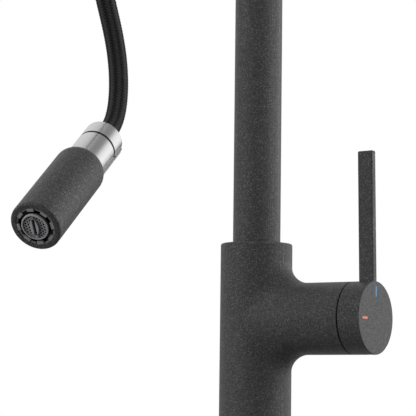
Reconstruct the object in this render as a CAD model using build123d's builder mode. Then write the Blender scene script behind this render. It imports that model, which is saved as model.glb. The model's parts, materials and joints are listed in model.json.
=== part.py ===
"""A tall single-lever kitchen faucet with a pull-down spray head, its hose drawn out.

Millimetres, +Z up. The origin is on the deck, on the column's axis. The spout reaches towards -Y
and the handle's branch points to +X. The deck hole, shank, nut and hanging hose are below z = 0.
"""

import os
from math import cos, pi, radians, sin, sqrt

from build123d import *

os.makedirs("parts", exist_ok=True)

# Column and side branch
BODY_R = 22.75
BODY_TOP = 148.0
BODY_BORE_R = 19.0
NECK_LOW = 119.0
NECK_BORE_R = 16.6
LEDGE_R = 13.6
BRANCH_R = 22.45
BRANCH_END = 70.0
BRANCH_BORE_R = 18.9
HANDLE_Z = 100.0
BLEND_R = 15.0
BASE_H = 5.0
GASKET_H = 1.5
BASE_R = 26.0

# Mounting below the deck
SHANK_R = 16.45
SHANK_BORE_R = 14.4
SHANK_TOP = 16.0
SHANK_END = -56.0
DECK_CLAMP = -30.0

# Spout
TUBE_R = 15.1
TUBE_BORE_R = 13.1
TUBE_END = 120.1
REACH = 185.0
ARCH_R = REACH / 2
ARCH_Z = 375.0
OUTLET_Z = 340.0
STOP_Z = 135.0

# Handle, tilting about a pivot inside the cartridge
PIVOT_X = 54.0
CAP_RIM = 70.8
CAP_FACE = 85.5
LEVER_WIDTH = 10.2
LEVER_THICK = 4.9
LEVER_TOP = 202.9
LEVER_LEAN = 0.9
MARK_DEPTH = 0.3

# Hose
HOSE_R = 5.6
HOSE_X = -6.0
HOSE_Y = -5.5
HOSE_SPLIT = 150.0
WEIGHT_LOW = -258.0
WEIGHT_TOP = -208.0
HOSE_LOW = -262.0
PIPE_X = -5.0
PIPE_Y = 8.2
PIPE_R = 4.0
FITTING_END = -118.0

# Spray head, measured along its axis from its face to the hose
HEAD_R = 14.5
SHOULDER = 63.8
CHROME_R = 11.33
GROOVE_LOW = 82.9
GROOVE_TOP = 84.6
NUT_TOP = 95.9
HOSE_SEAT = 89.0
KEY_ANGLE = 36.0
KEY_WIDTH = 3.4
KEY_PROUD = 0.9
SLOT_ANGLE = 95.0
RIM_ROUND = 1.4
SHOULDER_WIDTH = 3.0
SHOULDER_LENGTH = 5.4
RING_R = 11.25

BRANCH = Plane(origin=(0, 0, HANDLE_Z), x_dir=(0, 1, 0), z_dir=(1, 0, 0))
HEAD = Plane(origin=(8.5, -239.1, 138.7), x_dir=(0.989, 0.150, 0), z_dir=(-0.121, 0.795, 0.595))
HOSE_LINE = Plane(origin=(HOSE_X, HOSE_Y, 0))
PIPE_LINE = Plane(origin=(PIPE_X, PIPE_Y, 0))
OUTLET = Plane(origin=(0, -REACH, 0))


def save(piece, label):
    """Name a finished piece and write it as one STEP file."""
    piece.part.label = label
    export_step(piece.part, f"parts/{label}.step")


def side_of(plane):
    """The plane through a round piece's axis: local X points outward, local Y along the axis."""
    return Plane(origin=plane.origin, x_dir=plane.x_dir, z_dir=-plane.y_dir)


def axis_of(plane):
    return Axis(plane.origin, plane.z_dir)


def sleeve(plane, outer, inner, low, high):
    """A plain sleeve, or a rod where inner is 0, between two heights on a plane's axis."""
    with BuildPart() as piece:
        with BuildSketch(plane.offset(low)):
            Circle(outer)
            if inner > 0:
                Circle(inner, mode=Mode.SUBTRACT)
        extrude(amount=high - low)
    return piece


def ring_seal(plane, mean, section, height):
    """An O-ring."""
    with BuildPart() as piece:
        with BuildSketch(side_of(plane)):
            with Locations((mean, height)):
                Circle(section / 2)
        revolve(axis=axis_of(plane))
    return piece


def turn_at(before, corner, after):
    """The angle in degrees by which a route turns at a corner."""
    return (Vector(*corner) - Vector(*before)).get_angle(Vector(*after) - Vector(*corner))


def arc_radii(route):
    """For each corner, 0.45 of its shorter run over the tangent of half the turn."""
    radii = []
    for before, corner, after in zip(route, route[1:], route[2:]):
        run_in = Vector(*corner) - Vector(*before)
        run_out = Vector(*after) - Vector(*corner)
        shorter = min(run_in.length, run_out.length)
        half = radians(turn_at(before, corner, after) / 2)
        radii.append(0.45 * shorter * cos(half) / sin(half))
    return radii


def hose_tube(name, route):
    """A hose's outer tube along straight runs joined by tangent arcs."""
    radii = arc_radii(route)
    start = Plane(origin=route[0], z_dir=Vector(*route[1]) - Vector(*route[0]))
    with BuildPart() as piece:
        with BuildLine() as path:
            FilletPolyline(*route, radius=radii)
        with BuildSketch(start):
            Circle(HOSE_R)
        sweep(path=path.line)
    length = sum(edge.length for edge in path.edges())
    ideal = length * pi * HOSE_R**2
    print(name, "length", round(length, 1), "volume ratio", round(piece.part.volume / ideal, 4))
    print("  arc radii", [round(radius, 1) for radius in radii])
    return piece


# ---------------------------------------------------------------- column

# The body is one casting: a column, a side branch and a soft blend between them
with BuildPart() as body_shell:
    with BuildSketch(Plane.XY.offset(BASE_H)):
        Circle(BODY_R)
    extrude(amount=BODY_TOP - BASE_H)
    with BuildSketch(BRANCH):
        Circle(BRANCH_R)
    extrude(amount=BRANCH_END)
    curved = body_shell.edges().filter_by(GeomType.LINE, reverse=True)
    seam = curved.filter_by(GeomType.CIRCLE, reverse=True)
    fillet(seam, BLEND_R)
    rims = body_shell.edges().filter_by(GeomType.CIRCLE)
    fillet(rims.sort_by(Axis.Z)[-1], 1.3)
    fillet(rims.sort_by(Axis.X)[-1], 0.6)
    with BuildSketch(Plane.XY.offset(BASE_H)):
        Circle(SHANK_R + 0.05)
    extrude(amount=12, mode=Mode.SUBTRACT)
    with BuildSketch(Plane.XY.offset(BASE_H + 12)):
        Circle(BODY_BORE_R)
    extrude(amount=NECK_LOW - 3 - BASE_H - 12, mode=Mode.SUBTRACT)
    with BuildSketch(Plane.XY.offset(NECK_LOW - 3)):
        Circle(LEDGE_R)
    extrude(amount=3, mode=Mode.SUBTRACT)
    with BuildSketch(Plane.XY.offset(NECK_LOW)):
        Circle(NECK_BORE_R)
    extrude(amount=BODY_TOP - NECK_LOW, mode=Mode.SUBTRACT)
    with BuildSketch(BRANCH.offset(8)):
        Circle(BRANCH_BORE_R)
    extrude(amount=BRANCH_END - 8, mode=Mode.SUBTRACT)
    with BuildSketch(Plane.XZ.offset(-BODY_R - 1)):
        with Locations((0, STOP_Z)):
            Circle(2.05)
    extrude(amount=BODY_R + 1 - 15.5, mode=Mode.SUBTRACT)
save(body_shell, "body_shell")

with BuildPart() as base_ring:
    with BuildSketch(Plane.XY.offset(GASKET_H)):
        Circle(BASE_R)
        Circle(SHANK_R + 0.6, mode=Mode.SUBTRACT)
    extrude(amount=BASE_H - GASKET_H)
    fillet(base_ring.edges().group_by(Axis.Z)[-1].sort_by(SortBy.RADIUS)[-1], 1.6)
save(base_ring, "base_ring")

save(sleeve(Plane.XY, BASE_R - 0.8, SHANK_R + 0.8, 0, GASKET_H), "base_gasket")

# Swivel seat in the neck
save(sleeve(Plane.XY, NECK_BORE_R - 0.02, TUBE_BORE_R + 0.6, NECK_LOW, NECK_LOW + 1), "thrust_washer")
save(sleeve(Plane.XY, NECK_BORE_R - 0.02, TUBE_R + 0.05, NECK_LOW + 1.2, 127), "lower_swivel_bush")
save(sleeve(Plane.XY, NECK_BORE_R - 0.02, TUBE_R + 0.05, 140, BODY_TOP - 0.6), "upper_swivel_bush")
save(ring_seal(Plane.XY, (NECK_BORE_R + TUBE_R) / 2 + 0.02, 1.3, 130), "swivel_oring")

# The stop screw's tip runs in a part-round groove in the spout tube
STOP_LINE = Plane(origin=(0, 0, STOP_Z), x_dir=(1, 0, 0), z_dir=(0, 1, 0))
with BuildPart() as spout_stop_screw:
    with BuildSketch(STOP_LINE.offset(14.5)):
        Circle(1.5)
    extrude(amount=2.1)
    with BuildSketch(STOP_LINE.offset(16.6)):
        Circle(2.0)
    extrude(amount=5.6)
    with BuildSketch(STOP_LINE.offset(20.2)):
        RegularPolygon(1.15, 6)
    extrude(amount=2.0, mode=Mode.SUBTRACT)
save(spout_stop_screw, "spout_stop_screw")

# ---------------------------------------------------------------- mounting

with BuildPart() as mounting_shank:
    with BuildSketch(Plane.XY.offset(SHANK_END)):
        Circle(SHANK_R)
        Circle(SHANK_BORE_R, mode=Mode.SUBTRACT)
    extrude(amount=SHANK_TOP - SHANK_END)
    ends = mounting_shank.edges().filter_by(GeomType.CIRCLE).sort_by(SortBy.RADIUS)[-2:]
    chamfer(ends, 0.8)
save(mounting_shank, "mounting_shank")

save(sleeve(Plane.XY, 27.0, SHANK_R + 0.6, DECK_CLAMP - 3, DECK_CLAMP), "rubber_washer")
save(sleeve(Plane.XY, 27.0, SHANK_R + 0.8, DECK_CLAMP - 5, DECK_CLAMP - 3), "steel_washer")

NUT_FACE = DECK_CLAMP - 5.5
JACK_R = 21.4
with BuildPart() as mounting_nut:
    with BuildSketch(Plane.XY.offset(NUT_FACE - 6)):
        Circle(26.0)
        Circle(SHANK_R + 0.05, mode=Mode.SUBTRACT)
        with PolarLocations(JACK_R, 2):
            Circle(2.55, mode=Mode.SUBTRACT)
    extrude(amount=6)
    with BuildSketch(Plane.XY.offset(NUT_FACE - 15)):
        RegularPolygon(18.9, 6, major_radius=False)
        Circle(SHANK_R + 0.05, mode=Mode.SUBTRACT)
        with PolarLocations(JACK_R, 2):
            Circle(4.7, mode=Mode.SUBTRACT)
    extrude(amount=9)
save(mounting_nut, "mounting_nut")

with BuildPart() as jack_screws:
    with BuildSketch(Plane.XY.offset(NUT_FACE - 12)):
        with PolarLocations(JACK_R, 2):
            Circle(2.5)
    extrude(amount=12.5)
    with BuildSketch(Plane.XY.offset(NUT_FACE - 16)):
        with PolarLocations(JACK_R, 2):
            RegularPolygon(4.0, 6, major_radius=False)
    extrude(amount=4)
save(jack_screws, "jack_screws")

# ---------------------------------------------------------------- valve

INLET_X = 6.0
INLET_Y = 6.3
INLET_R = 4.5
SEAT_LOW = 84.0
SEAT_FACE = 30.0
PORT_R = 3.0
with BuildPart() as valve_seat:
    with BuildSketch(Plane.XY.offset(SEAT_LOW)):
        with BuildLine():
            Polyline((0.6, -13), (18, -13), (18, 13), (-9.5, 13), (-9.5, 3.4), (0.6, 3.4), close=True)
        make_face()
    extrude(amount=19)
    with BuildSketch(Plane.XY.offset(SEAT_LOW)):
        Circle(60)
        Circle(BODY_BORE_R - 0.1, mode=Mode.SUBTRACT)
    extrude(amount=19, mode=Mode.SUBTRACT)
    with BuildSketch(BRANCH.offset(12)):
        Circle(BRANCH_BORE_R - 0.15)
    extrude(amount=SEAT_FACE - 12)
    with BuildSketch(Plane.XY.offset(SEAT_LOW)):
        with Locations((INLET_X, INLET_Y), (INLET_X, -INLET_Y)):
            Circle(INLET_R)
    extrude(amount=14, mode=Mode.SUBTRACT)
    with BuildSketch(Plane.XY.offset(SEAT_LOW)):
        with Locations((PIPE_X, PIPE_Y)):
            Circle(PIPE_R + 0.05)
    extrude(amount=12, mode=Mode.SUBTRACT)
    with BuildSketch(BRANCH.offset(INLET_X)):
        with Locations((INLET_Y, -4), (-INLET_Y, -4)):
            Circle(PORT_R)
    extrude(amount=SEAT_FACE - INLET_X, mode=Mode.SUBTRACT)
    with BuildSketch(BRANCH.offset(SEAT_FACE - 3)):
        with Locations((0, 14.5), (0, -14.5)):
            Circle(1.6)
    extrude(amount=3, mode=Mode.SUBTRACT)
save(valve_seat, "valve_seat")

with BuildPart() as cartridge_base:
    with BuildSketch(BRANCH.offset(SEAT_FACE + 1)):
        Circle(17.2)
        with Locations((INLET_Y, -4), (-INLET_Y, -4), (0, 7)):
            Circle(PORT_R, mode=Mode.SUBTRACT)
    extrude(amount=5)
    with BuildSketch(BRANCH.offset(SEAT_FACE - 2)):
        with Locations((0, 14.5), (0, -14.5)):
            Circle(1.5)
    extrude(amount=3)
save(cartridge_base, "cartridge_base")

with BuildPart() as cartridge_seals:
    with BuildSketch(BRANCH.offset(SEAT_FACE)):
        with Locations((INLET_Y, -4), (-INLET_Y, -4), (0, 7)):
            Circle(PORT_R + 1.6)
            Circle(PORT_R + 0.2, mode=Mode.SUBTRACT)
    extrude(amount=1)
save(cartridge_seals, "cartridge_seals")

with BuildPart() as cartridge_housing:
    with BuildSketch(BRANCH.offset(36)):
        Circle(17.4)
        Circle(15.5, mode=Mode.SUBTRACT)
    extrude(amount=19.7)
    with BuildSketch(BRANCH.offset(55.7)):
        Circle(17.4)
        Circle(11.0, mode=Mode.SUBTRACT)
    extrude(amount=2.3)
    with BuildSketch(BRANCH.offset(58)):
        Circle(12.2)
        Circle(11.0, mode=Mode.SUBTRACT)
    extrude(amount=5)
save(cartridge_housing, "cartridge_housing")

save(sleeve(BRANCH, BRANCH_BORE_R - 0.05, 12.5, 58.0, 63.6), "cartridge_nut")

with BuildPart() as fixed_disc:
    with BuildSketch(BRANCH.offset(36)):
        Circle(15.2)
        with Locations((INLET_Y, -4), (-INLET_Y, -4), (0, 7)):
            Circle(PORT_R, mode=Mode.SUBTRACT)
    extrude(amount=4)
save(fixed_disc, "fixed_disc")

# The moving disc and its coupler slide upward as the lever is pulled outward
with BuildPart() as moving_disc:
    with BuildSketch(BRANCH.offset(40.05)):
        Circle(11.6)
    extrude(amount=3.5)
    with BuildSketch(BRANCH.offset(40.05)):
        SlotOverall(12, 6, rotation=90)
    extrude(amount=2, mode=Mode.SUBTRACT)
save(moving_disc, "moving_disc")

with BuildPart() as disc_coupler:
    with BuildSketch(BRANCH.offset(43.55)):
        Circle(10.5)
    extrude(amount=3.2)
    with BuildSketch(BRANCH.offset(44.2)):
        SlotOverall(8.6, 7.2, rotation=90)
    extrude(amount=2.6, mode=Mode.SUBTRACT)
save(disc_coupler, "disc_coupler")

with BuildPart() as stem_carrier:
    with BuildSketch(BRANCH.offset(48.4)):
        Circle(10.7)
        Rectangle(7.6, 16.4, mode=Mode.SUBTRACT)
    extrude(amount=13.2)
    with BuildSketch(BRANCH.offset(48.4)):
        Circle(14.6)
        Rectangle(7.6, 16.4, mode=Mode.SUBTRACT)
    extrude(amount=3)
    with BuildSketch(Plane.XZ.offset(-12)):
        with Locations((PIVOT_X, HANDLE_Z)):
            Circle(1.5)
    extrude(amount=24, mode=Mode.SUBTRACT)
save(stem_carrier, "stem_carrier")

PIVOT_LINE = Plane(origin=(PIVOT_X, 0, HANDLE_Z), x_dir=(1, 0, 0), z_dir=(0, 1, 0))
save(sleeve(PIVOT_LINE, 1.5, 0, -10, 10), "pivot_pin")

SPINDLE_END = 82.5
BALL_X = 47.2
with BuildPart() as valve_spindle:
    with BuildSketch(BRANCH.offset(BALL_X)):
        Circle(2.9)
    extrude(amount=66 - BALL_X)
    with Locations(BRANCH.offset(BALL_X).location):
        Sphere(2.9)
    with BuildSketch(BRANCH.offset(66)):
        Rectangle(5.0, 5.0)
    extrude(amount=SPINDLE_END - 66)
    with BuildSketch(Plane.XZ.offset(-12)):
        with Locations((PIVOT_X, HANDLE_Z)):
            Circle(1.55)
    extrude(amount=24, mode=Mode.SUBTRACT)
save(valve_spindle, "valve_spindle")

# A thin spherical cover about the lever's pivot closes the gap behind the cap
DOME_R = 24.0
DOME_T = 1.0
SKIRT_R = BRANCH_BORE_R - 0.35
SKIRT_TOP = PIVOT_X + sqrt(DOME_R**2 - SKIRT_R**2)
SKIRT_IN = SKIRT_R - DOME_T
DOME_IN = DOME_R - DOME_T
with BuildPart() as dome_cover:
    with BuildSketch(side_of(BRANCH)):
        with BuildLine():
            RadiusArc((SKIRT_R, SKIRT_TOP), (0, PIVOT_X + DOME_R), -DOME_R)
            Line((0, PIVOT_X + DOME_R), (0, PIVOT_X + DOME_IN))
            RadiusArc((0, PIVOT_X + DOME_IN), (SKIRT_IN, PIVOT_X + sqrt(DOME_IN**2 - SKIRT_IN**2)), DOME_IN)
            Polyline(
                (SKIRT_IN, PIVOT_X + sqrt(DOME_IN**2 - SKIRT_IN**2)),
                (SKIRT_IN, 64.2),
                (SKIRT_R, 64.2),
                (SKIRT_R, SKIRT_TOP),
            )
        make_face()
    revolve(axis=axis_of(BRANCH))
    with BuildSketch(BRANCH.offset(66)):
        with Locations((0, -3.9)):
            SlotOverall(24.4, 16.6, rotation=90)
    extrude(amount=20, mode=Mode.SUBTRACT)
save(dome_cover, "dome_cover")

# ---------------------------------------------------------------- handle

# The cap is hollow behind, so that its rim can swing past the branch's end
MOUTH_R = 22.1
HOLLOW_R = 21.4
HOLLOW_END = 77.6
HUB_R = 7.4
HUB_LOW = 68.2
SCREW_X = 80.4
UPRIGHT = Plane(origin=(CAP_FACE - 0.25, 0, HANDLE_Z))
LEVER = UPRIGHT.rotated((0, -LEVER_LEAN, 0))
BLUE_MARK = (0, 16.1)
RED_MARK = (-14.2, -0.4)
MARK_LONG = 6.4
MARK_WIDE = 1.4

with BuildPart() as handle_lever:
    with BuildSketch(side_of(BRANCH)):
        with BuildLine():
            Polyline(
                (0, CAP_FACE),
                (BRANCH_R, CAP_FACE),
                (BRANCH_R, CAP_RIM),
                (MOUTH_R, CAP_RIM),
                (HOLLOW_R, CAP_RIM + 1.6),
                (HOLLOW_R, CAP_RIM + 2.4),
                (17.6, HOLLOW_END),
                (0, HOLLOW_END),
                close=True,
            )
        make_face()
    revolve(axis=axis_of(BRANCH))
    face_rim = handle_lever.edges().filter_by(GeomType.CIRCLE).sort_by(Axis.X)[-1]
    fillet(face_rim, 0.5)
    with BuildSketch(BRANCH.offset(HUB_LOW)):
        Circle(HUB_R)
    extrude(amount=HOLLOW_END - HUB_LOW + 0.5)
    with BuildSketch(LEVER.offset(17)):
        with Locations((-LEVER_WIDTH / 2, 0)):
            RectangleRounded(LEVER_WIDTH, LEVER_THICK, 0.95)
    blade_length = LEVER_TOP - HANDLE_Z - 17
    extrude(amount=blade_length)
    tip = handle_lever.faces().sort_by(Axis.Z)[-1]
    fillet(tip.edges(), 0.8)
    with BuildSketch(BRANCH.offset(HUB_LOW)):
        Rectangle(5.1, 5.1)
    extrude(amount=SPINDLE_END + 0.1 - HUB_LOW, mode=Mode.SUBTRACT)
    with BuildSketch(BRANCH.offset(HUB_LOW)):
        Circle(3.6)
    extrude(amount=1.0, mode=Mode.SUBTRACT)
    with BuildSketch(Plane.XY.offset(HANDLE_Z - 24)):
        with Locations((SCREW_X, 0)):
            Circle(2.05)
    extrude(amount=24, mode=Mode.SUBTRACT)
    with BuildSketch(Plane.XY.offset(HANDLE_Z - 24)):
        with Locations((SCREW_X, 0)):
            Circle(2.75)
    extrude(amount=24 - 20.2, mode=Mode.SUBTRACT)
    with BuildSketch(BRANCH.offset(CAP_FACE - MARK_DEPTH)):
        with Locations(BLUE_MARK):
            RectangleRounded(MARK_WIDE, MARK_LONG, 0.3)
        with Locations(RED_MARK):
            RectangleRounded(MARK_LONG, MARK_WIDE, 0.3)
    extrude(amount=1, mode=Mode.SUBTRACT)
save(handle_lever, "handle_lever")

with BuildPart() as cold_mark:
    with BuildSketch(BRANCH.offset(CAP_FACE - MARK_DEPTH)):
        with Locations(BLUE_MARK):
            RectangleRounded(MARK_WIDE, MARK_LONG, 0.3)
    extrude(amount=MARK_DEPTH + 0.06)
save(cold_mark, "cold_mark")

with BuildPart() as hot_mark:
    with BuildSketch(BRANCH.offset(CAP_FACE - MARK_DEPTH)):
        with Locations(RED_MARK):
            RectangleRounded(MARK_LONG, MARK_WIDE, 0.3)
    extrude(amount=MARK_DEPTH + 0.06)
save(hot_mark, "hot_mark")

SCREW_LINE = Plane(origin=(SCREW_X, 0, HANDLE_Z), x_dir=(1, 0, 0), z_dir=(0, 0, -1))
with BuildPart() as handle_grub_screw:
    with BuildSketch(SCREW_LINE.offset(2.5)):
        Circle(2.0)
    extrude(amount=9)
    with BuildSketch(SCREW_LINE.offset(8.5)):
        RegularPolygon(1.15, 6)
    extrude(amount=3, mode=Mode.SUBTRACT)
save(handle_grub_screw, "handle_grub_screw")

save(sleeve(SCREW_LINE, 2.7, 0, 20.2, BRANCH_R - 0.12), "screw_plug")

# ---------------------------------------------------------------- spout

with BuildPart() as spout_tube:
    with BuildLine() as spout_path:
        Line((0, 0, TUBE_END), (0, 0, ARCH_Z))
        ThreePointArc((0, 0, ARCH_Z), (0, -ARCH_R, ARCH_Z + ARCH_R), (0, -REACH, ARCH_Z))
        Line((0, -REACH, ARCH_Z), (0, -REACH, OUTLET_Z))
    with BuildSketch(Plane.XY.offset(TUBE_END)):
        Circle(TUBE_R)
        Circle(TUBE_BORE_R, mode=Mode.SUBTRACT)
    sweep(path=spout_path.line)
    lip = spout_tube.edges().filter_by(GeomType.CIRCLE).sort_by(Axis.Y)[:2].sort_by(SortBy.RADIUS)[-1]
    fillet(lip, 0.6)
    # The stop groove runs round the back of the tube
    with BuildSketch(Plane.XZ):
        with Locations((TUBE_R, STOP_Z)):
            Rectangle(1.5, 3.5)
    revolve(axis=Axis.Z, revolution_arc=180, mode=Mode.SUBTRACT)
save(spout_tube, "spout_tube")

with BuildPart() as outlet_guide:
    with BuildSketch(OUTLET.offset(OUTLET_Z + 0.8)):
        Circle(TUBE_BORE_R - 0.03)
        Circle(CHROME_R + 0.35, mode=Mode.SUBTRACT)
        with Locations((0, CHROME_R + 0.2)):
            Rectangle(KEY_WIDTH + 0.6, 2.0, mode=Mode.SUBTRACT)
    extrude(amount=20)
save(outlet_guide, "outlet_guide")

# ---------------------------------------------------------------- hose

# The hose is one length. It is cut where its stretches belong to different moving bodies.
with BuildPart() as hose_in_spout:
    with BuildLine() as inner_path:
        Line((0, 0, HOSE_SPLIT), (0, 0, ARCH_Z))
        ThreePointArc((0, 0, ARCH_Z), (0, -ARCH_R, ARCH_Z + ARCH_R), (0, -REACH, ARCH_Z))
    with BuildSketch(Plane.XY.offset(HOSE_SPLIT)):
        Circle(HOSE_R)
    sweep(path=inner_path.line)
save(hose_in_spout, "hose_in_spout")

save(sleeve(OUTLET, HOSE_R, 0, OUTLET_Z, ARCH_Z), "hose_in_outlet")

COLUMN_ROUTE = [(0, 0, HOSE_SPLIT), (0, 0, 136), (HOSE_X, HOSE_Y, 106), (HOSE_X, HOSE_Y, HOSE_LOW)]
save(hose_tube("hose_in_column", COLUMN_ROUTE), "hose_in_column")

HEAD_END = HEAD.origin + HEAD.z_dir * HOSE_SEAT
HEAD_EXIT = HEAD.origin + HEAD.z_dir * (NUT_TOP + 10.5)
FREE_ROUTE = [
    (0, -REACH, OUTLET_Z),
    (0, -REACH, 322),
    (-0.8, -180, 303),
    (-1.9, -166.1, 277),
    (-2.8, -153.6, 252.5),
    (-3.2, -148.9, 232.5),
    (-3.8, -149.2, 214.5),
    (HEAD_EXIT.X, HEAD_EXIT.Y, HEAD_EXIT.Z),
    (HEAD_END.X, HEAD_END.Y, HEAD_END.Z),
]
save(hose_tube("hose_free", FREE_ROUTE), "hose_free")

LOOP_ROUTE = [
    (HOSE_X, HOSE_Y, HOSE_LOW),
    (HOSE_X, HOSE_Y, -282),
    (-6, 8, -303.6),
    (-6, 30.9, -314.8),
    (-5.8, 56.3, -312.1),
    (-5.6, 76.4, -296.4),
    (-5.4, 85.1, -272.4),
    (-5.2, 79.8, -247.5),
    (-5, 50, -213),
    (-5, 17.5, -170),
    (PIPE_X, PIPE_Y, -142),
    (PIPE_X, PIPE_Y, FITTING_END),
]
save(hose_tube("hose_loop", LOOP_ROUTE), "hose_loop")

# Mixed outlet: a copper pipe, a plug-in connector and the hose's end fitting
save(sleeve(PIPE_LINE, PIPE_R, 2.9, -78, SEAT_LOW + 11.9), "outlet_pipe")
with BuildPart() as outlet_connector:
    with BuildSketch(side_of(PIPE_LINE)):
        with BuildLine():
            Polyline((4.05, -70), (7.4, -70), (7.4, -84), (6.4, -85.5), (6.4, -96), (4.2, -96), (4.2, -79),
                     (4.05, -78), close=True)
        make_face()
    revolve(axis=axis_of(PIPE_LINE))
save(outlet_connector, "outlet_connector")

with BuildPart() as hose_end_fitting:
    with BuildSketch(side_of(PIPE_LINE)):
        with BuildLine():
            Polyline((0, -82), (4.1, -82), (4.1, -97), (6.8, -97), (6.8, -118), (6.8, -126), (5.7, -126),
                     (5.7, -118), (0, -118), close=True)
        make_face()
    revolve(axis=axis_of(PIPE_LINE))
save(hose_end_fitting, "hose_end_fitting")

# Counterweight: two cast halves clamped round the hose
CLAMP_X = 10.4
WEIGHT_MID = Plane(origin=(HOSE_X, HOSE_Y, (WEIGHT_LOW + WEIGHT_TOP) / 2), x_dir=(1, 0, 0), z_dir=(0, 1, 0))
with BuildPart() as counterweight:
    with BuildSketch(HOSE_LINE.offset(WEIGHT_LOW)):
        Circle(16)
        Circle(HOSE_R + 0.3, mode=Mode.SUBTRACT)
        Rectangle(40, 0.8, mode=Mode.SUBTRACT)
    extrude(amount=WEIGHT_TOP - WEIGHT_LOW)
    rims = counterweight.edges().filter_by(GeomType.CIRCLE).filter_by(lambda e: e.radius > 10)
    fillet(rims, 2.5)
    with BuildSketch(WEIGHT_MID.offset(-20)):
        with Locations((CLAMP_X, 0), (-CLAMP_X, 0)):
            Circle(1.7)
    extrude(amount=40, mode=Mode.SUBTRACT)
    with BuildSketch(WEIGHT_MID.offset(9)):
        with Locations((CLAMP_X, 0), (-CLAMP_X, 0)):
            Circle(3.1)
    extrude(amount=10, mode=Mode.SUBTRACT)
save(counterweight, "counterweight")

with BuildPart() as weight_screws:
    with BuildSketch(WEIGHT_MID.offset(-9)):
        with Locations((CLAMP_X, 0), (-CLAMP_X, 0)):
            Circle(1.6)
    extrude(amount=18)
    with BuildSketch(WEIGHT_MID.offset(9)):
        with Locations((CLAMP_X, 0), (-CLAMP_X, 0)):
            Circle(2.9)
    extrude(amount=2.4)
save(weight_screws, "weight_screws")

# ---------------------------------------------------------------- spray head


def key_profile(low):
    """The outline of the anti-rotation rib on the chrome's side, at a height along the head."""
    rib_in = CHROME_R - 1.2
    rib_out = CHROME_R + KEY_PROUD
    with BuildSketch(HEAD.offset(low)) as profile:
        with Locations(Rotation(0, 0, KEY_ANGLE)):
            with Locations(((rib_in + rib_out) / 2, 0)):
                Rectangle(rib_out - rib_in, KEY_WIDTH)
    return profile.sketch


def lens_profile(low, length, width):
    """A pointed oval, two arcs that meet at its ends, along the coin slot."""
    half = length / 2
    rise = width / 2
    with BuildSketch(HEAD.offset(low)) as profile:
        with BuildLine(Plane.XY.rotated((0, 0, SLOT_ANGLE))):
            ThreePointArc((half, 0), (0, rise), (-half, 0))
            ThreePointArc((-half, 0), (0, -rise), (half, 0))
        make_face()
    return profile.sketch


with BuildPart() as head_shell:
    with BuildSketch(side_of(HEAD)):
        with BuildLine():
            Line((HEAD_R, RIM_ROUND), (HEAD_R, SHOULDER - SHOULDER_LENGTH))
            EllipticalCenterArc(
                (HEAD_R - SHOULDER_WIDTH, SHOULDER - SHOULDER_LENGTH),
                SHOULDER_WIDTH,
                SHOULDER_LENGTH,
                arc_size=90,
            )
            Polyline((HEAD_R - SHOULDER_WIDTH, SHOULDER), (0, SHOULDER), (0, 0), (HEAD_R - RIM_ROUND, 0))
            CenterArc((HEAD_R - RIM_ROUND, RIM_ROUND), RIM_ROUND, -90, 90)
        make_face()
    revolve(axis=axis_of(HEAD))
    with BuildSketch(HEAD):
        Circle(RING_R + 0.1)
    extrude(amount=3, mode=Mode.SUBTRACT)
    with BuildSketch(HEAD.offset(3)):
        Circle(12.7)
    extrude(amount=54, mode=Mode.SUBTRACT)
    with BuildSketch(HEAD.offset(57)):
        Circle(9.0)
    extrude(amount=SHOULDER - 57, mode=Mode.SUBTRACT)
save(head_shell, "head_shell")

with BuildPart() as docking_shank:
    with BuildSketch(HEAD.offset(SHOULDER)):
        Circle(CHROME_R)
    extrude(amount=GROOVE_LOW - SHOULDER)
    with BuildSketch(HEAD.offset(57.2)):
        Circle(8.95)
    extrude(amount=SHOULDER - 57.2)
    extrude(key_profile(SHOULDER + 1.5), amount=GROOVE_LOW - SHOULDER - 1.5)
    with BuildSketch(HEAD.offset(57.2)):
        Circle(7.0)
    extrude(amount=16.4, mode=Mode.SUBTRACT)
    with BuildSketch(HEAD.offset(73.6)):
        Circle(5.6)
    extrude(amount=GROOVE_LOW - 73.6, mode=Mode.SUBTRACT)
save(docking_shank, "docking_shank")

save(sleeve(HEAD, CHROME_R - 0.25, 5.8, GROOVE_LOW, GROOVE_TOP - 0.1), "swivel_ring")

with BuildPart() as swivel_nut:
    with BuildSketch(HEAD.offset(GROOVE_TOP)):
        Circle(CHROME_R)
    extrude(amount=NUT_TOP - GROOVE_TOP)
    rim = swivel_nut.edges().filter_by(GeomType.CIRCLE).sort_by(axis_of(HEAD))[-1]
    chamfer(rim, 0.5)
    extrude(key_profile(GROOVE_TOP), amount=NUT_TOP - 2.2 - GROOVE_TOP)
    with BuildSketch(HEAD.offset(GROOVE_TOP)):
        Circle(7.35)
    extrude(amount=9.4, mode=Mode.SUBTRACT)
    with BuildSketch(HEAD.offset(GROOVE_TOP)):
        Circle(6.1)
    extrude(amount=NUT_TOP - GROOVE_TOP, mode=Mode.SUBTRACT)
save(swivel_nut, "swivel_nut")

with BuildPart() as hose_spigot:
    with BuildSketch(HEAD.offset(74.4)):
        Circle(5.3)
    extrude(amount=HOSE_SEAT - 74.4)
    with BuildSketch(HEAD.offset(GROOVE_TOP + 0.4)):
        Circle(7.2)
    extrude(amount=HOSE_SEAT - GROOVE_TOP - 0.4)
    with BuildSketch(HEAD.offset(70.6)):
        Circle(5.3)
    extrude(amount=3.8)
    for height in (77.0, 80.6):
        with BuildSketch(HEAD.offset(height)):
            Circle(6)
            Circle(4.35, mode=Mode.SUBTRACT)
        extrude(amount=1.6, mode=Mode.SUBTRACT)
    with BuildSketch(HEAD.offset(72.2)):
        Circle(6)
        Circle(4.5, mode=Mode.SUBTRACT)
    extrude(amount=0.9, mode=Mode.SUBTRACT)
    with BuildSketch(HEAD.offset(70.6)):
        Circle(3.2)
    extrude(amount=HOSE_SEAT - 70.6, mode=Mode.SUBTRACT)
save(hose_spigot, "hose_spigot")

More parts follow.
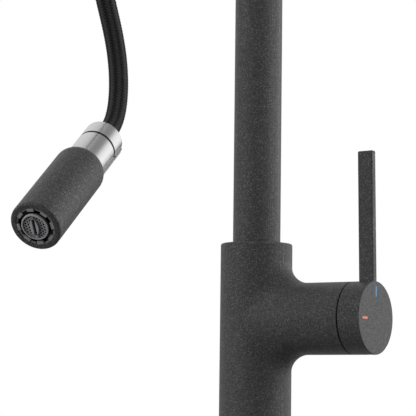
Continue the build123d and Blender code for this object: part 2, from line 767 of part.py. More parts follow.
with BuildPart() as spigot_seals:
    for height in (77.8, 81.4):
        with BuildSketch(side_of(HEAD)):
            with Locations((4.95, height)):
                Circle(0.55)
        revolve(axis=axis_of(HEAD))
save(spigot_seals, "spigot_seals")

with BuildPart() as spigot_clip:
    with BuildSketch(HEAD.offset(72.25)):
        Circle(6.5)
        Circle(4.55, mode=Mode.SUBTRACT)
        with Locations((6, 0)):
            Rectangle(6, 3.2, mode=Mode.SUBTRACT)
    extrude(amount=0.8)
save(spigot_clip, "spigot_clip")

save(sleeve(HEAD, 7.2, HOSE_R + 0.05, HOSE_SEAT, 93.4), "crimp_ferrule")

with BuildPart() as check_valve:
    with BuildSketch(HEAD.offset(59)):
        Circle(6.9)
        Circle(4.6, mode=Mode.SUBTRACT)
    extrude(amount=9)
    with BuildSketch(HEAD.offset(62)):
        Circle(4.8)
        with PolarLocations(2.9, 6):
            Circle(1.0, mode=Mode.SUBTRACT)
    extrude(amount=1.6)
save(check_valve, "check_valve")

with BuildPart() as head_waterway:
    with BuildSketch(HEAD.offset(5.3)):
        Circle(12.5)
        Circle(9.4, mode=Mode.SUBTRACT)
    extrude(amount=19.7)
    with BuildSketch(HEAD.offset(25)):
        Circle(12.5)
        Circle(5.0, mode=Mode.SUBTRACT)
    extrude(amount=3)
    with BuildSketch(HEAD.offset(28)):
        Circle(7.2)
        Circle(5.0, mode=Mode.SUBTRACT)
        with PolarLocations(9.4, 4):
            Rectangle(6.2, 1.6)
    extrude(amount=26)
    with BuildSketch(HEAD.offset(54)):
        Circle(12.5)
        Circle(5.0, mode=Mode.SUBTRACT)
    extrude(amount=2.9)
save(head_waterway, "head_waterway")

# The face: a ring with inward blocks, a dark plate behind it and the aerator standing proud
BAND_IN = 10.15
BLOCK_IN = 8.95
BLOCKS = 8
BLOCK_WIDTH = 3.9
with BuildPart() as spray_ring:
    with BuildSketch(HEAD.offset(0.55)):
        Circle(RING_R)
        Circle(BAND_IN, mode=Mode.SUBTRACT)
    extrude(amount=2.4)
    with BuildSketch(HEAD.offset(0.15)):
        with PolarLocations((BLOCK_IN + RING_R) / 2, BLOCKS):
            Rectangle(RING_R - BLOCK_IN - 0.4, BLOCK_WIDTH)
    extrude(amount=1.8)
    with BuildSketch(HEAD.offset(0.15)):
        with PolarLocations(RING_R, BLOCKS // 2, start_angle=-76):
            Rectangle(3, 0.45)
    extrude(amount=1.6, mode=Mode.SUBTRACT)
save(spray_ring, "spray_ring")

NOZZLES = 16
with BuildPart() as nozzle_plate:
    with BuildSketch(HEAD.offset(3.0)):
        Circle(12.6)
        Circle(8.0, mode=Mode.SUBTRACT)
        with PolarLocations(9.3, NOZZLES):
            Circle(0.4, mode=Mode.SUBTRACT)
    extrude(amount=2.2)
save(nozzle_plate, "nozzle_plate")

AERATOR_R = 7.75
SCREEN_R = 6.9
AERATOR_LOW = -0.7
with BuildPart() as aerator_housing:
    with BuildSketch(HEAD.offset(AERATOR_LOW)):
        Circle(AERATOR_R)
        Circle(SCREEN_R + 0.05, mode=Mode.SUBTRACT)
    extrude(amount=13 - AERATOR_LOW)
    mouth = aerator_housing.edges().filter_by(GeomType.CIRCLE).group_by(axis_of(HEAD))[0]
    fillet(mouth.sort_by(SortBy.RADIUS)[-1], 0.3)
    with BuildSketch(HEAD.offset(9)):
        Circle(9.3)
        Circle(SCREEN_R + 0.05, mode=Mode.SUBTRACT)
    extrude(amount=6)
save(aerator_housing, "aerator_housing")

save(sleeve(HEAD, 9.2, 6.4, 15.0, 17.0), "aerator_seal")

# The screen is a honeycomb plate with two crescent ribs either side of its coin slot
SCREEN_FRONT = 0.1
RIB_FRONT = -1.1
CELL_PITCH = 1.5
CELL_R = 0.6
with BuildPart() as aerator_screen:
    with BuildSketch(HEAD.offset(SCREEN_FRONT)):
        Circle(SCREEN_R)
        with HexLocations(CELL_PITCH / sqrt(3), 10, 10):
            RegularPolygon(CELL_R, 6, mode=Mode.SUBTRACT)
    extrude(amount=1.0)
    extrude(lens_profile(RIB_FRONT, 11.8, 4.5), amount=3.4)
    with BuildSketch(HEAD.offset(RIB_FRONT)):
        SlotOverall(10.4, 1.9, rotation=SLOT_ANGLE)
    extrude(amount=2.9, mode=Mode.SUBTRACT)
    with BuildSketch(HEAD.offset(SCREEN_FRONT + 1)):
        Circle(SCREEN_R)
        Circle(SCREEN_R - 0.9, mode=Mode.SUBTRACT)
    extrude(amount=5)
save(aerator_screen, "aerator_screen")
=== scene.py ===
"""The look of a pull-down kitchen faucet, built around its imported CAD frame.

The column stands on the worktop at the origin, the handle points along +X and the spout along -Y.
Lengths are in metres. Most parts keep their CAD meshes and get their finishes here. The braided
hose is modelled here, yarn by yarn, along the same routes as its CAD stretches, and the mounting
shank is modelled here with its thread.
"""

import json
import math

import bpy
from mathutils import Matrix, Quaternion, Vector


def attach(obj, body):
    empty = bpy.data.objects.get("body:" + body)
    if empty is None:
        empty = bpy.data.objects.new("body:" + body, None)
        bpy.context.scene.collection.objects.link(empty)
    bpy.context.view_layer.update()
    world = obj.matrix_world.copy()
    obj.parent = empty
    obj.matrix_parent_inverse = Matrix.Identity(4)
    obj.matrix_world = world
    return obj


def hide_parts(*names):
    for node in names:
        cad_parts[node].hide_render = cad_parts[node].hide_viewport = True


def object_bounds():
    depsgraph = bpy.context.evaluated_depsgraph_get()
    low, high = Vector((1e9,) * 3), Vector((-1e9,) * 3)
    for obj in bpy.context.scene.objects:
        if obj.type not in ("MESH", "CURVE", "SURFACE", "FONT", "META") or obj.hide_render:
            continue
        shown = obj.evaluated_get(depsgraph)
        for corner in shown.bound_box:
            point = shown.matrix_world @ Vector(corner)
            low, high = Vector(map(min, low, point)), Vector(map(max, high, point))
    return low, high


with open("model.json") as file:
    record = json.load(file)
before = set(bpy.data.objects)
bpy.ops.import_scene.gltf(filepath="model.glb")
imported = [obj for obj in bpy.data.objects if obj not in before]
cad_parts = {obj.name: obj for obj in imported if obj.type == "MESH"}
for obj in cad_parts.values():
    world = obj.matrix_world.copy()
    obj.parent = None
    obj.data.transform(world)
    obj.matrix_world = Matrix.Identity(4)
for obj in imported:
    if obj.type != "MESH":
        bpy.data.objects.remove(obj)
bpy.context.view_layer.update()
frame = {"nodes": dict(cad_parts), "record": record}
scene = bpy.context.scene
nodes = frame["nodes"]

MM = 0.001

# Driving dimensions, as in the CAD source
OUTLET = Vector((0, -0.185, 0.340))
HOSE_DIAMETER = 0.0112
HEAD_FACE = Vector((0.0085, -0.2391, 0.1387))
HEAD_AXIS = Vector((-0.121, 0.795, 0.595)).normalized()


# ------------------------------------------------------------------ camera

CAMERA_AZIMUTH = math.radians(32.76)  # round from the spout's side towards the handle
CAMERA_PITCH = math.radians(5.79)  # looking up
CAMERA_ROLL = math.radians(0.71)
CAMERA_DISTANCE = 1.2035
CAMERA_SHIFT = -0.0312  # of the eye, to its right
CAMERA_HEIGHT = 0.0486
SENSOR = 36
LENS = 164.4

TOWARDS_CAMERA = Vector((math.sin(CAMERA_AZIMUTH), -math.cos(CAMERA_AZIMUTH), 0))
CAMERA_RIGHT = Vector((math.cos(CAMERA_AZIMUTH), math.sin(CAMERA_AZIMUTH), 0))
UP = Vector((0, 0, 1))


def place_camera():
    """A long lens a little above the worktop, which looks slightly up at the faucet."""
    data = bpy.data.cameras.new("camera")
    data.sensor_width = SENSOR
    data.lens = LENS
    camera = bpy.data.objects.new("camera", data)
    scene.collection.objects.link(camera)
    camera.location = TOWARDS_CAMERA * CAMERA_DISTANCE + CAMERA_RIGHT * CAMERA_SHIFT + UP * CAMERA_HEIGHT
    look = UP * math.sin(CAMERA_PITCH) - TOWARDS_CAMERA * math.cos(CAMERA_PITCH)
    turn = look.to_track_quat("-Z", "Y")
    camera.rotation_mode = "QUATERNION"
    camera.rotation_quaternion = Quaternion(look, -CAMERA_ROLL) @ turn
    scene.camera = camera


place_camera()


# ------------------------------------------------------------------ shader helpers


def add(tree, kind, inputs=None, **settings):
    """A new shader node with its settings. Each input is a value, or another node's output to link."""
    made = tree.nodes.new(kind)
    for name, value in settings.items():
        setattr(made, name, value)
    for name, value in (inputs or {}).items():
        if isinstance(value, bpy.types.NodeSocket):
            tree.links.new(value, made.inputs[name])
        else:
            made.inputs[name].default_value = value
    return made


def start_material(name, **surface):
    """A new material. Returns it, its tree, its Principled node and the object coordinates in metres."""
    material = bpy.data.materials.new(name)
    material.use_nodes = True
    tree = material.node_tree
    shader = tree.nodes["Principled BSDF"]
    for socket, value in surface.items():
        shader.inputs[socket.replace("_", " ")].default_value = value
    place = add(tree, "ShaderNodeTexCoord").outputs["Object"]
    return material, tree, shader, place


def noise(tree, place, size, detail=2.0):
    """Noise whose features are about size metres wide, as a number from 0 to 1."""
    made = add(tree, "ShaderNodeTexNoise", {"Vector": place, "Scale": 1 / size, "Detail": detail})
    return made.outputs["Factor" if "Factor" in made.outputs else "Fac"]


def spread(tree, value, low, high, start=0.0, end=1.0, kind="LINEAR"):
    """value carried from the range start..end to low..high."""
    ends = {"From Min": start, "From Max": end, "To Min": low, "To Max": high}
    made = add(tree, "ShaderNodeMapRange", {"Value": value, **ends}, interpolation_type=kind)
    return made.outputs["Result"]


def between(tree, factor, first, second):
    """A colour that goes from first to second as factor goes from 0 to 1."""
    made = add(tree, "ShaderNodeMix", data_type="RGBA")
    for socket, value in zip((made.inputs[0], made.inputs[6], made.inputs[7]), (factor, first, second)):
        if isinstance(value, bpy.types.NodeSocket):
            tree.links.new(value, socket)
        else:
            socket.default_value = value
    return made.outputs[2]


def emboss(tree, shader, height, depth, strength=1.0):
    """Lets height, from 0 to 1, raise the shader's surface by depth metres."""
    bump = add(tree, "ShaderNodeBump", {"Height": height, "Distance": depth, "Strength": strength})
    tree.links.new(bump.outputs["Normal"], shader.inputs["Normal"])


def grey(level, blue=0.0):
    """An almost neutral colour, with its blue lifted by that share of its level."""
    return (level, level, level * (1 + blue), 1)


# ------------------------------------------------------------------ materials


def granite_coat():
    """Anthracite powder coat: fine orange peel, with small pale flakes under the surface."""
    material, tree, shader, place = start_material("granite_coat")
    shader.inputs["Specular IOR Level"].default_value = 0.38
    mottle = noise(tree, place, 1.2 * MM, 3)
    ground = between(tree, spread(tree, mottle, 0, 1, 0.35, 0.65), grey(0.036, 0.03), grey(0.060, 0.05))
    flakes = add(tree, "ShaderNodeTexVoronoi", {"Vector": place, "Scale": 1 / (0.66 * MM)})
    chance = add(tree, "ShaderNodeSeparateColor", {"Color": flakes.outputs["Color"]})
    picked = spread(tree, chance.outputs["Red"], 0, 1, 0.40, 1.0)
    core = spread(tree, flakes.outputs["Distance"], 1, 0, 0.22, 0.52)
    flake = add(tree, "ShaderNodeMath", {0: picked, 1: core}, operation="MULTIPLY").outputs[0]
    colour = between(tree, flake, ground, grey(0.20, 0.02))
    tree.links.new(colour, shader.inputs["Base Color"])
    peel = noise(tree, place, 1.0 * MM, 2)
    tree.links.new(spread(tree, peel, 0.40, 0.56, 0.25, 0.75), shader.inputs["Roughness"])
    emboss(tree, shader, peel, 0.16 * MM, 0.8)
    return material


def bright_chrome():
    """Polished plating with the faintest turning marks."""
    material, tree, shader, place = start_material("bright_chrome", Metallic=1.0)
    cloud = noise(tree, place, 9 * MM, 2)
    tree.links.new(between(tree, cloud, grey(0.80, 0.01), grey(0.88, 0.01)), shader.inputs["Base Color"])
    tree.links.new(spread(tree, cloud, 0.22, 0.28), shader.inputs["Roughness"])
    emboss(tree, shader, noise(tree, place, 0.4 * MM, 3), 0.002 * MM)
    return material


def braided_nylon():
    """Black yarn, with a painted sheen on one family of yarns and painted shade between the filaments. The
    mesh stores its own yarn coordinates: family, across the yarn and along it.
    """
    material, tree, shader, place = start_material("braided_nylon")
    shader.inputs["Specular IOR Level"].default_value = 0.12
    yarn = add(tree, "ShaderNodeAttribute", attribute_name="yarn").outputs["Vector"]
    parts = add(tree, "ShaderNodeSeparateXYZ", {"Vector": yarn})
    family, across = parts.outputs["X"], parts.outputs["Y"]
    turns = add(tree, "ShaderNodeMath", {0: across, 1: 2 * math.pi * FILAMENTS}, operation="MULTIPLY")
    ridge = add(tree, "ShaderNodeMath", {0: turns.outputs[0]}, operation="COSINE")
    filament = spread(tree, ridge.outputs[0], 0, 1, -1, 1)
    fuzz = noise(tree, place, 0.5 * MM, 3)
    # Painted sheen: one family of yarns is painted paler than the other, in place of the fibres'
    # highlight.
    base = between(tree, family, grey(0.014, 0.02), grey(0.062, 0.02))
    worn = between(tree, spread(tree, fuzz, 0, 0.35, 0.40, 0.75), base, grey(0.055, 0.02))
    # Painted shade: the grooves between the filaments are darkened almost to black.
    colour = between(tree, spread(tree, filament, 0.55, 0), worn, grey(0.002))
    tree.links.new(colour, shader.inputs["Base Color"])
    tree.links.new(spread(tree, fuzz, 0.42, 0.62), shader.inputs["Roughness"])
    emboss(tree, shader, filament, 0.05 * MM, 0.7)
    return material


def hidden_braid():
    """The hose's stretches inside the column and the spout: the same yarn, drawn as crossed ribs, with
    painted shade between them.
    """
    material, tree, shader, place = start_material("hidden_braid", Roughness=0.55)
    rib = 1 / (1.7 * MM)
    one = add(tree, "ShaderNodeTexWave", {"Vector": place, "Scale": rib / 6, "Distortion": 0.6})
    other = add(tree, "ShaderNodeTexWave", {"Vector": place, "Scale": rib / 6}, bands_direction="Z")
    crossed = add(tree, "ShaderNodeMath", {0: one.outputs[0], 1: other.outputs[0]}, operation="MAXIMUM")
    # Painted shade: darker between the crossed ribs than on their crests.
    colour = between(tree, crossed.outputs[0], grey(0.006), grey(0.022, 0.02))
    tree.links.new(colour, shader.inputs["Base Color"])
    emboss(tree, shader, crossed.outputs[0], 0.15 * MM)
    return material


def moulded(name, low, high, roughness, grain, depth):
    """Moulded plastic or rubber: a fine grain in its colour, its gloss and its surface."""
    material, tree, shader, place = start_material(name)
    cloud = noise(tree, place, grain * 6, 3)
    texture = noise(tree, place, grain, 2)
    tree.links.new(between(tree, cloud, low, high), shader.inputs["Base Color"])
    gloss = spread(tree, texture, roughness - 0.08, roughness + 0.08, 0.3, 0.7)
    tree.links.new(gloss, shader.inputs["Roughness"])
    emboss(tree, shader, texture, depth)
    return material


def face_moulding():
    """The plastic of the head's face, with painted light and shade by depth: paler where it stands proud,
    darker further in and black in its holes and gaps.
    """
    material, tree, shader, place = start_material("face_plastic")
    # Painted shade: the colour follows the depth along the head's axis, paler on the proud parts and near
    # black deep in the holes and gaps.
    inward = add(tree, "ShaderNodeVectorMath", {0: place, 1: HEAD_AXIS}, operation="DOT_PRODUCT")
    face = HEAD_FACE.dot(HEAD_AXIS)
    painted_depth_shade = spread(tree, inward.outputs["Value"], 0.42, 0.26, face - 0.9 * MM, face + 0.2 * MM)
    painted_hole_shade = spread(tree, inward.outputs["Value"], 1, 0.04, face + 0.3 * MM, face + 1.2 * MM)
    tone = add(tree, "ShaderNodeMath", {0: painted_depth_shade, 1: painted_hole_shade}, operation="MULTIPLY")
    tree.links.new(between(tree, tone.outputs[0], grey(0.0), grey(1.0, 0.03)), shader.inputs["Base Color"])
    texture = noise(tree, place, 0.35 * MM, 2)
    tree.links.new(spread(tree, texture, 0.38, 0.54, 0.3, 0.7), shader.inputs["Roughness"])
    emboss(tree, shader, texture, 0.015 * MM)
    return material


def drawn_metal(name, low, high, roughness, stretch):
    """Turned or drawn metal: faint lines round or along the part, and a cloudy tarnish."""
    material, tree, shader, place = start_material(name, Metallic=1.0)
    squeezed = add(tree, "ShaderNodeMapping", {"Vector": place, "Scale": stretch}).outputs[0]
    lines = noise(tree, squeezed, 0.5 * MM, 3)
    cloud = noise(tree, place, 8 * MM, 4)
    tree.links.new(between(tree, cloud, low, high), shader.inputs["Base Color"])
    gloss = spread(tree, lines, roughness - 0.1, roughness + 0.12, 0.3, 0.7)
    tree.links.new(gloss, shader.inputs["Roughness"])
    emboss(tree, shader, lines, 0.01 * MM)
    return material


def enamel(name, low, high):
    """A small glossy mark let into the handle's cap."""
    material, tree, shader, place = start_material(name, Roughness=0.3)
    cloud = noise(tree, place, 0.7 * MM, 2)
    tree.links.new(between(tree, cloud, low, high), shader.inputs["Base Color"])
    shader.inputs["Coat Weight"].default_value = 0.3
    return material


FILAMENTS = 4  # ribs across one yarn

ROUND = (1, 1, 8)  # lines that run round a standing part
ALONG = (6, 6, 1)  # lines that run along it
finish = {
    "granite_coat": granite_coat(),
    "bright_chrome": bright_chrome(),
    "hose_braid": hidden_braid(),
    "dark_plastic": moulded("dark_plastic", grey(0.012), grey(0.020), 0.48, 0.5 * MM, 0.02 * MM),
    "face_plastic": face_moulding(),
    "white_plastic": moulded(
        "white_plastic", grey(0.62, -0.05), grey(0.72, -0.03), 0.42, 0.6 * MM, 0.02 * MM
    ),
    "black_rubber": moulded("black_rubber", grey(0.010), grey(0.018), 0.70, 0.4 * MM, 0.03 * MM),
    "yellow_brass": drawn_metal("yellow_brass", (0.62, 0.43, 0.17, 1), (0.74, 0.55, 0.27, 1), 0.33, ROUND),
    "zinc_steel": drawn_metal("zinc_steel", grey(0.50, 0.02), grey(0.62, 0.03), 0.36, ROUND),
    "copper_pipe": drawn_metal("copper_pipe", (0.62, 0.31, 0.20, 1), (0.78, 0.44, 0.30, 1), 0.30, ALONG),
    "ceramic_white": moulded(
        "ceramic_white", grey(0.70, -0.03), grey(0.78, -0.02), 0.25, 0.3 * MM, 0.004 * MM
    ),
    "weight_coat": moulded("weight_coat", grey(0.030), grey(0.050), 0.62, 1.3 * MM, 0.10 * MM),
    "blue_enamel": enamel("blue_enamel", (0.03, 0.16, 0.33, 1), (0.05, 0.22, 0.42, 1)),
    "red_enamel": enamel("red_enamel", (0.46, 0.13, 0.08, 1), (0.56, 0.18, 0.11, 1)),
}

for part in frame["record"]["subparts"]:
    mesh = nodes[part["node"]].data
    mesh.materials.clear()
    mesh.materials.append(finish[part["material_slot"]])


# ------------------------------------------------------------------ braided hose

YARNS = 16  # in each direction
YARN_PITCH = 1.7 * MM  # from one yarn to the next, along the hose
YARN_LIFT = 0.20 * MM  # of a yarn where it passes over two others
YARN_CROWN = 0.50 * MM  # from a yarn's middle down to its edges
YARN_STANDS = 0.06 * MM  # above the nominal diameter
braid = braided_nylon()


def head_point(along):
    """A point on the spray head's axis, that far behind its face."""
    return HEAD_FACE + HEAD_AXIS * along


OUTLET_ROUTE = [OUTLET + UP * 0.035, OUTLET + UP * 0.018, OUTLET]
FREE_ROUTE = [
    OUTLET,
    (0, -0.185, 0.322),
    (-0.0008, -0.180, 0.303),
    (-0.0019, -0.1661, 0.277),
    (-0.0028, -0.1536, 0.2525),
    (-0.0032, -0.1489, 0.2325),
    (-0.0038, -0.1492, 0.2145),
    head_point(0.1064),
    head_point(0.089),
]
LOOP_ROUTE = [
    (-0.006, -0.0055, -0.262),
    (-0.006, -0.0055, -0.282),
    (-0.006, 0.008, -0.3036),
    (-0.006, 0.0309, -0.3148),
    (-0.0058, 0.0563, -0.3121),
    (-0.0056, 0.0764, -0.2964),
    (-0.0054, 0.0851, -0.2724),
    (-0.0052, 0.0798, -0.2475),
    (-0.005, 0.050, -0.213),
    (-0.005, 0.0175, -0.170),
    (-0.005, 0.0082, -0.142),
    (-0.005, 0.0082, -0.118),
]


def smooth_line(name, route):
    """The points that a smooth spline through the route's control points follows."""
    curve = bpy.data.curves.new(name, "CURVE")
    curve.dimensions = "3D"
    spline = curve.splines.new("NURBS")
    spline.points.add(len(route) - 1)
    for point, place in zip(spline.points, route):
        point.co = (*place, 1)
    spline.order_u = 3
    spline.use_endpoint_u = True
    spline.resolution_u = 32
    holder = bpy.data.objects.new(name, curve)
    scene.collection.objects.link(holder)
    mesh = bpy.data.meshes.new_from_object(holder)
    points = [vertex.co.copy() for vertex in mesh.vertices]
    bpy.data.objects.remove(holder)
    bpy.data.meshes.remove(mesh)
    bpy.data.curves.remove(curve)
    return points


def even_steps(points, step):
    """The same line in equal steps of about that length. Returns the points and the whole length."""
    lengths = [0.0]
    for before, after in zip(points, points[1:]):
        lengths.append(lengths[-1] + (after - before).length)
    count = max(2, round(lengths[-1] / step))
    even = []
    span = 0
    for index in range(count + 1):
        wanted = lengths[-1] * index / count
        while span < len(points) - 2 and lengths[span + 1] < wanted:
            span += 1
        share = (wanted - lengths[span]) / max(lengths[span + 1] - lengths[span], 1e-9)
        even.append(points[span].lerp(points[span + 1], min(share, 1)))
    return even, lengths[-1]


def sections(points):
    """Two axes across the line at each point, carried along it without twist."""
    heading = (points[1] - points[0]).normalized()
    side = heading.orthogonal().normalized()
    axes = []
    for index in range(len(points)):
        ahead = points[min(index + 1, len(points) - 1)]
        behind = points[max(index - 1, 0)]
        new_heading = (ahead - behind).normalized()
        side = heading.rotation_difference(new_heading) @ side
        side = (side - new_heading * side.dot(new_heading)).normalized()
        heading = new_heading
        axes.append((side, heading.cross(side)))
    return axes


def yarn_surface(turn, along):
    """How far the braid stands up at a place, which family of yarns shows there, and the place on it.

    turn is from 0 to 1 round the hose and along is in metres. Every yarn passes over two and under two.
    """
    first = turn * YARNS + along / YARN_PITCH
    second = turn * YARNS - along / YARN_PITCH
    first_yarn = round(first)
    second_yarn = round(second)
    first_wave = math.cos(math.pi / 2 * (first_yarn + second - 0.5))
    second_wave = -math.cos(math.pi / 2 * (first + second_yarn - 0.5))
    first_across = first - first_yarn
    second_across = second - second_yarn
    first_height = YARN_LIFT * first_wave - YARN_CROWN * (2 * first_across) ** 2
    second_height = YARN_LIFT * second_wave - YARN_CROWN * (2 * second_across) ** 2
    if first_height > second_height:
        return first_height, (1, first_across, second)
    return second_height, (0, second_across, first)


def braided_tube(name, points, body, start, step, around):
    """A closed tube of crossing yarns along the points. start is how far along the hose it begins."""
    line, length = even_steps(points, step)
    vertices = []
    yarn = []
    for index, (centre, (side, up)) in enumerate(zip(line, sections(line))):
        along = start + length * index / (len(line) - 1)
        for corner in range(around):
            turn = corner / around
            height, place = yarn_surface(turn, along)
            radius = HOSE_DIAMETER / 2 - YARN_LIFT + YARN_STANDS + height
            angle = 2 * math.pi * turn
            vertices.append(centre + (side * math.cos(angle) + up * math.sin(angle)) * radius)
            yarn.append(place)
    faces = []
    for row in range(len(line) - 1):
        for corner in range(around):
            beside = (corner + 1) % around
            low, high = row * around, (row + 1) * around
            faces.append((low + corner, low + beside, high + beside, high + corner))
    last = (len(line) - 1) * around
    faces.append(tuple(reversed(range(around))))
    faces.append(tuple(range(last, last + around)))
    mesh = bpy.data.meshes.new(name)
    mesh.from_pydata(vertices, [], faces)
    stored = mesh.attributes.new("yarn", "FLOAT_VECTOR", "POINT")
    stored.data.foreach_set("vector", [value for place in yarn for value in place])
    mesh.shade_smooth()
    mesh.materials.append(braid)
    tube = bpy.data.objects.new(name, mesh)
    scene.collection.objects.link(tube)
    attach(tube, body)
    return tube, line, length


FINE, COARSE = 0.27 * MM, 0.45 * MM  # steps along the hose

outlet_line = smooth_line("outlet_line", OUTLET_ROUTE)
outlet_hose, _, outlet_length = braided_tube(
    "braid_in_outlet", outlet_line, "pulled_hose", 0, FINE, YARNS * 9
)
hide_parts("hose_in_outlet")

free_line = smooth_line("free_line", FREE_ROUTE)
free_hose, free_path, free_length = braided_tube(
    "braid_free", free_line, "pulled_hose", outlet_length, FINE, YARNS * 9
)
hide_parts("hose_free")
free_hose.visible_glossy = False  # its thin dark line in the chrome would be too strong

loop_line = smooth_line("loop_line", LOOP_ROUTE)
loop_hose, loop_path, loop_length = braided_tube("braid_loop", loop_line, "base", 0, COARSE, YARNS * 6)
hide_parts("hose_loop")


# ------------------------------------------------------------------ mounting thread

SHANK_R = 16.45 * MM
SHANK_BORE_R = 14.4 * MM
SHANK_LOW = -56 * MM
SHANK_TOP = 16 * MM
SHANK_CHAMFER = 0.8 * MM
THREAD_TOP = -1.5 * MM
THREAD_PITCH = 1.5 * MM
THREAD_DEPTH = 0.85 * MM


def thread_radius(turn, height):
    """The shank's radius at a turn from 0 to 1 round it: a thread with flat crests and roots."""
    from_crest = abs((height / THREAD_PITCH - turn) % 1 - 0.5) * 2
    groove = min(max(from_crest * 1.5 - 0.25, 0), 1)
    fade = min(max((THREAD_TOP - height) / THREAD_PITCH, 0), 1)
    from_end = min(height - SHANK_LOW, SHANK_TOP - height)
    return min(SHANK_R - THREAD_DEPTH * groove * fade, SHANK_R - SHANK_CHAMFER + from_end)


def threaded_shank(around=72, rows_per_turn=8):
    """The brass shank below the column, as one closed shell with its thread and its bore."""
    rows = round((SHANK_TOP - SHANK_LOW) / THREAD_PITCH * rows_per_turn)
    profile = [SHANK_LOW + (SHANK_TOP - SHANK_LOW) * row / rows for row in range(rows + 1)]
    bore = [SHANK_TOP, SHANK_LOW]
    vertices = []
    for index, height in enumerate(profile + bore):
        for corner in range(around):
            turn = corner / around
            radius = thread_radius(turn, height) if index <= rows else SHANK_BORE_R
            angle = 2 * math.pi * turn
            vertices.append((radius * math.cos(angle), radius * math.sin(angle), height))
    faces = []
    loops = len(profile + bore)
    for row in range(loops):
        low, high = row * around, (row + 1) % loops * around
        for corner in range(around):
            beside = (corner + 1) % around
            faces.append((low + corner, low + beside, high + beside, high + corner))
    mesh = bpy.data.meshes.new("threaded_shank")
    mesh.from_pydata(vertices, [], faces)
    mesh.shade_smooth()
    mesh.set_sharp_from_angle(angle=math.radians(50))
    mesh.materials.append(finish["yellow_brass"])
    shank = bpy.data.objects.new("threaded_shank", mesh)
    scene.collection.objects.link(shank)
    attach(shank, "base")
    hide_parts("mounting_shank")


threaded_shank()


# ------------------------------------------------------------------ studio

TARGET = Vector((0, -0.09, 0.14))  # what the lights point at
FLOOR_GAP = 0.004  # below the lowest part
FLOOR_SIZE = 7
FLOOR_CORNERS = 64
FILL = 0.07, 0.34  # the room's light on matt surfaces, from below and from above
SOFTBOX_DISTANCE = 1.4
SOFTBOX_CENTRE = 1.35  # strength at a softbox's middle
SOFTBOX_FADE = 0.12, 0.62  # shares of its width over which it fades to nothing


def seen_from_faucet(side, lift):
    """The direction that is side degrees round from the camera and raised by lift degrees."""
    angle, raised = math.radians(side), math.radians(lift)
    level = TOWARDS_CAMERA * math.cos(angle) + CAMERA_RIGHT * math.sin(angle)
    return level * math.cos(raised) + UP * math.sin(raised)


def light_room():
    """A pure white backdrop for the camera, and the room that shows in glossy surfaces.

    The room is brighter behind the faucet than in front, with the soft patches that ROOM lists.
    Matt surfaces get only a dim light from it, so that the softboxes shape them.
    """
    world = bpy.data.worlds.new("studio")
    world.use_nodes = True
    scene.world = world
    tree = world.node_tree
    tree.nodes.clear()
    ray = add(tree, "ShaderNodeLightPath").outputs
    direction = add(tree, "ShaderNodeTexCoord").outputs["Generated"]
    shine = 0.0
    for towards, low, high, start, end in ROOM:
        facing = add(tree, "ShaderNodeVectorMath", {0: direction, 1: towards}, operation="DOT_PRODUCT")
        patch = spread(tree, facing.outputs["Value"], low, high, start, end, "SMOOTHSTEP")
        shine = add(tree, "ShaderNodeMath", {0: patch, 1: shine}, operation="ADD").outputs[0]
    room = add(tree, "ShaderNodeBackground", {"Color": grey(1.0), "Strength": shine})
    height = add(tree, "ShaderNodeSeparateXYZ", {"Vector": direction}).outputs["Z"]
    dim = spread(tree, height, *FILL, -0.5, 0.7)
    fill = add(tree, "ShaderNodeBackground", {"Color": grey(1.0), "Strength": dim})
    lit = {0: ray["Is Diffuse Ray"], 1: room.outputs[0], 2: fill.outputs[0]}
    surroundings = add(tree, "ShaderNodeMixShader", lit)
    backdrop = add(tree, "ShaderNodeBackground", {"Color": grey(1.0), "Strength": 1.0})
    seen = {0: ray["Is Camera Ray"], 1: surroundings.outputs[0], 2: backdrop.outputs[0]}
    mixed = add(tree, "ShaderNodeMixShader", seen)
    add(tree, "ShaderNodeOutputWorld", {"Surface": mixed.outputs[0]})


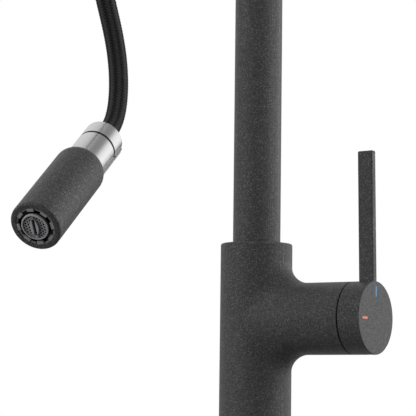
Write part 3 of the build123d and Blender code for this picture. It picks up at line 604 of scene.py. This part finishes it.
def softbox(name, side, lift, width, height, radiance):
    """A light with soft edges, at side degrees round from the camera and raised by lift degrees.

    It lights the faucet but doesn't show in it: the room's patches stand for it in reflections.
    """
    away = seen_from_faucet(side, lift)
    data = bpy.data.lights.new(name, "AREA")
    data.shape = "RECTANGLE"
    data.size = width
    data.size_y = height
    data.energy = radiance * math.pi * width * height
    data.use_nodes = True
    tree = data.node_tree
    sheet = add(tree, "ShaderNodeNewGeometry").outputs["Parametric"]
    middle = add(tree, "ShaderNodeVectorMath", {0: sheet, 1: (0.5, 0.5, 0)}, operation="DISTANCE")
    fade = spread(tree, middle.outputs["Value"], SOFTBOX_CENTRE, 0, *SOFTBOX_FADE)
    tree.links.new(fade, tree.nodes["Emission"].inputs["Strength"])
    lamp = bpy.data.objects.new(name, data)
    scene.collection.objects.link(lamp)
    lamp.location = TARGET + away * SOFTBOX_DISTANCE
    lamp.rotation_mode = "QUATERNION"
    lamp.rotation_quaternion = (-away).to_track_quat("-Z", "Y")
    lamp.visible_camera = False
    lamp.visible_glossy = False


def lay_floor():
    """A pale floor below everything, a large round sheet that throws no light up at the faucet."""
    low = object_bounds()[0]
    height = low[2] - FLOOR_GAP
    rim = [2 * math.pi * step / FLOOR_CORNERS for step in range(FLOOR_CORNERS)]
    vertices = [(FLOOR_SIZE * math.cos(angle), FLOOR_SIZE * math.sin(angle), height) for angle in rim]
    mesh = bpy.data.meshes.new("floor")
    mesh.from_pydata(vertices, [], [tuple(range(FLOOR_CORNERS))])
    material, tree, shader, place = start_material("floor", Roughness=0.8)
    tone = between(tree, noise(tree, place, 0.4, 2), grey(0.78, -0.01), grey(0.82, -0.01))
    tree.links.new(tone, shader.inputs["Base Color"])
    mesh.materials.append(material)
    floor = bpy.data.objects.new("floor", mesh)
    scene.collection.objects.link(floor)
    floor.visible_diffuse = False
    floor.visible_glossy = False


ROOM = [  # direction, light far from it, light at it, and the cosines where the change starts and ends
    (-TOWARDS_CAMERA, 0.24, 0.42, 0.15, 0.60),
    (seen_from_faucet(122, 18), 0.0, 0.68, 0.86, 0.99),
    (seen_from_faucet(-135, 52), 0.0, 0.29, 0.62, 0.80),
]
light_room()
softbox("right_softbox", side=88, lift=12, width=1.8, height=1.8, radiance=4.9)
softbox("left_softbox", side=-72, lift=10, width=1.7, height=1.9, radiance=3.0)
lay_floor()
scene.view_settings.view_transform = "Standard"
